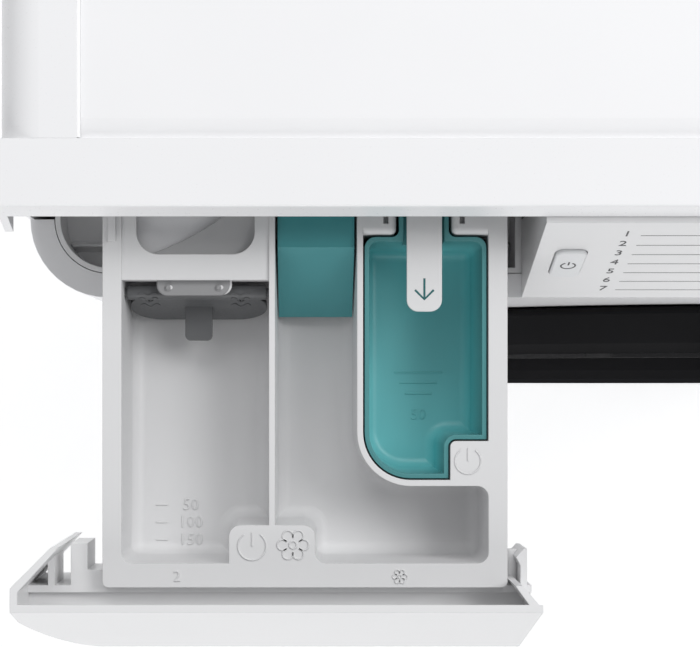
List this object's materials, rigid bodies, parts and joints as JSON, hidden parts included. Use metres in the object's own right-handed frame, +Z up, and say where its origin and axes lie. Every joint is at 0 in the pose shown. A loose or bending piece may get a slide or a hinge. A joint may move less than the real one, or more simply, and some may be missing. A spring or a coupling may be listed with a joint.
{
  "type": "front load washing machine",
  "caption": "Front loading washing machine with a round hinged door, leaning control panel, spinning drum and a detergent drawer pulled open, holding a dosing tray and liquid flap.",
  "frame": {"origin": "centre of the overall box, open drawer included, on the floor", "axes": "+Z up, -Y out of the front door, +X to the right as seen from the front"},
  "size_m": [0.6, 0.6788, 0.85],
  "materials": {
    "white_steel": "satin white paint",
    "white_plastic": "gloss white",
    "worktop_white": "white laminate on board",
    "power_grey": "satin",
    "knob_silver": "satin silver",
    "display_black": "gloss",
    "tray_grey": "satin moulded",
    "teal": "translucent gloss",
    "flap_grey": "satin",
    "door_black": "matte",
    "door_glass": "high gloss, dark",
    "bowl_glass": "clear",
    "rubber_grey": "matte",
    "rubber_black": "matte",
    "stainless": "brushed",
    "zinc": "zinc coated",
    "steel": "turned",
    "cast": "cast",
    "motor_dark": "satin",
    "tub_plastic": "matte moulded",
    "concrete": "rough",
    "grey_plastic": "matte",
    "board_green": "matte"
  },
  "bodies": {
    "cabinet": {"back_panel": "zinc", "base_tray": "zinc", "bearings": "steel", "cable_gland": "grey_plastic", "control_board": "board_green", "control_panel": "white_plastic", "counterweights": "concrete", "dampers": "grey_plastic", "dispenser_housing": "tray_grey", "dispenser_lid": "tray_grey", "display_lens": "display_black", "door_gasket": "rubber_grey", "door_lock": "grey_plastic", "drain_outlet": "grey_plastic", "drain_pump": "grey_plastic", "drawer_surround": "tray_grey", "drive_belt": "rubber_black", "drive_motor": "motor_dark", "fill_hose": "rubber_grey", "front_panel": "white_steel", "heater": "steel", "hinge_bracket": "zinc", "hinge_pin": "steel", "inlet_valve": "grey_plastic", "kick_plate": "white_plastic", "levelling_feet": "rubber_black", "rear_cover": "zinc", "side_panel_left": "white_steel", "side_panel_right": "white_steel", "sump_hose": "rubber_grey", "suspension_springs": "zinc", "transport_plugs": "rubber_grey", "tub_front_half": "tub_plastic", "tub_rear_half": "tub_plastic", "worktop_board": "worktop_white", "worktop_frame": "white_plastic", "worktop_trim": "white_plastic"},
    "drawer": {"drawer_tray": "tray_grey", "drawer_front": "white_plastic", "dosing_tray": "teal", "softener_cap": "teal"},
    "release_tab": {"release_tab": "tray_grey"},
    "liquid_flap": {"liquid_flap": "flap_grey"},
    "door": {"door_frame": "door_black", "door_cover": "door_glass", "door_bowl": "bowl_glass", "door_clamp_ring": "door_black", "door_latch": "door_black"},
    "filter_flap": {"filter_flap": "white_plastic"},
    "pump_filter": {"pump_filter": "grey_plastic"},
    "program_knob": {"program_knob": "knob_silver"},
    "power_button": {"power_button": "power_grey"},
    "start_button": {"start_button": "white_plastic"},
    "option_button_1": {"option_button_1": "white_plastic"},
    "option_button_2": {"option_button_2": "white_plastic"},
    "drum": {"drum": "stainless", "drum_lifters": "stainless", "drum_spider": "cast", "drum_pulley": "cast"},
    "motor_pulley": {"motor_pulley": "steel"}
  },
  "joints": [
    {"name": "drawer_slide", "type": "slide", "parent": "cabinet", "child": "drawer", "axis": [0, 1, 0], "range_m": [0, 0.134]},
    {"name": "tab_press", "type": "hinge", "parent": "drawer", "child": "release_tab", "pos_m": [-0.1525, -0.1369, 0.8245], "axis": [1, 0, 0], "range_deg": [0, 1.5]},
    {"name": "liquid_flap_lift", "type": "hinge", "parent": "drawer", "child": "liquid_flap", "pos_m": [-0.2335, -0.2059, 0.815], "axis": [-1, 0, 0], "range_deg": [0, 60]},
    {"name": "door_hinge", "type": "hinge", "parent": "cabinet", "child": "door", "pos_m": [-0.221, -0.2145, 0.522], "axis": [0, 0, -1], "range_deg": [0, 125]},
    {"name": "filter_flap_hinge", "type": "hinge", "parent": "cabinet", "child": "filter_flap", "pos_m": [0.205, -0.2005, 0.047], "axis": [1, 0, 0], "range_deg": [0, 90]},
    {"name": "filter_turn", "type": "hinge", "parent": "cabinet", "child": "pump_filter", "pos_m": [0.205, -0.1655, 0.072], "axis": [0, 1, 0], "range_deg": [0, 90]},
    {"name": "knob_turn", "type": "hinge", "parent": "cabinet", "child": "program_knob", "pos_m": [0.04, -0.1945, 0.80875], "axis": [0, -0.948, 0.3184], "continuous": true},
    {"name": "power_press", "type": "slide", "parent": "cabinet", "child": "power_button", "axis": [0, 0.948, -0.3184], "range_m": [0, 0.001]},
    {"name": "start_press", "type": "slide", "parent": "cabinet", "child": "start_button", "axis": [0, 0.948, -0.3184], "range_m": [0, 0.001]},
    {"name": "option_1_press", "type": "slide", "parent": "cabinet", "child": "option_button_1", "axis": [0, 0.948, -0.3184], "range_m": [0, 0.001]},
    {"name": "option_2_press", "type": "slide", "parent": "cabinet", "child": "option_button_2", "axis": [0, 0.948, -0.3184], "range_m": [0, 0.001]},
    {"name": "drum_spin", "type": "hinge", "parent": "cabinet", "child": "drum", "pos_m": [0, -0.0055, 0.522], "axis": [0, 1, 0], "continuous": true},
    {"name": "motor_spin", "type": "hinge", "parent": "cabinet", "child": "motor_pulley", "pos_m": [0.062, 0.2275, 0.146], "axis": [0, 1, 0], "continuous": true}
  ],
  "couplings": [
    {"joint": "motor_spin", "follows": "drum_spin", "ratio": 10}
  ]
}
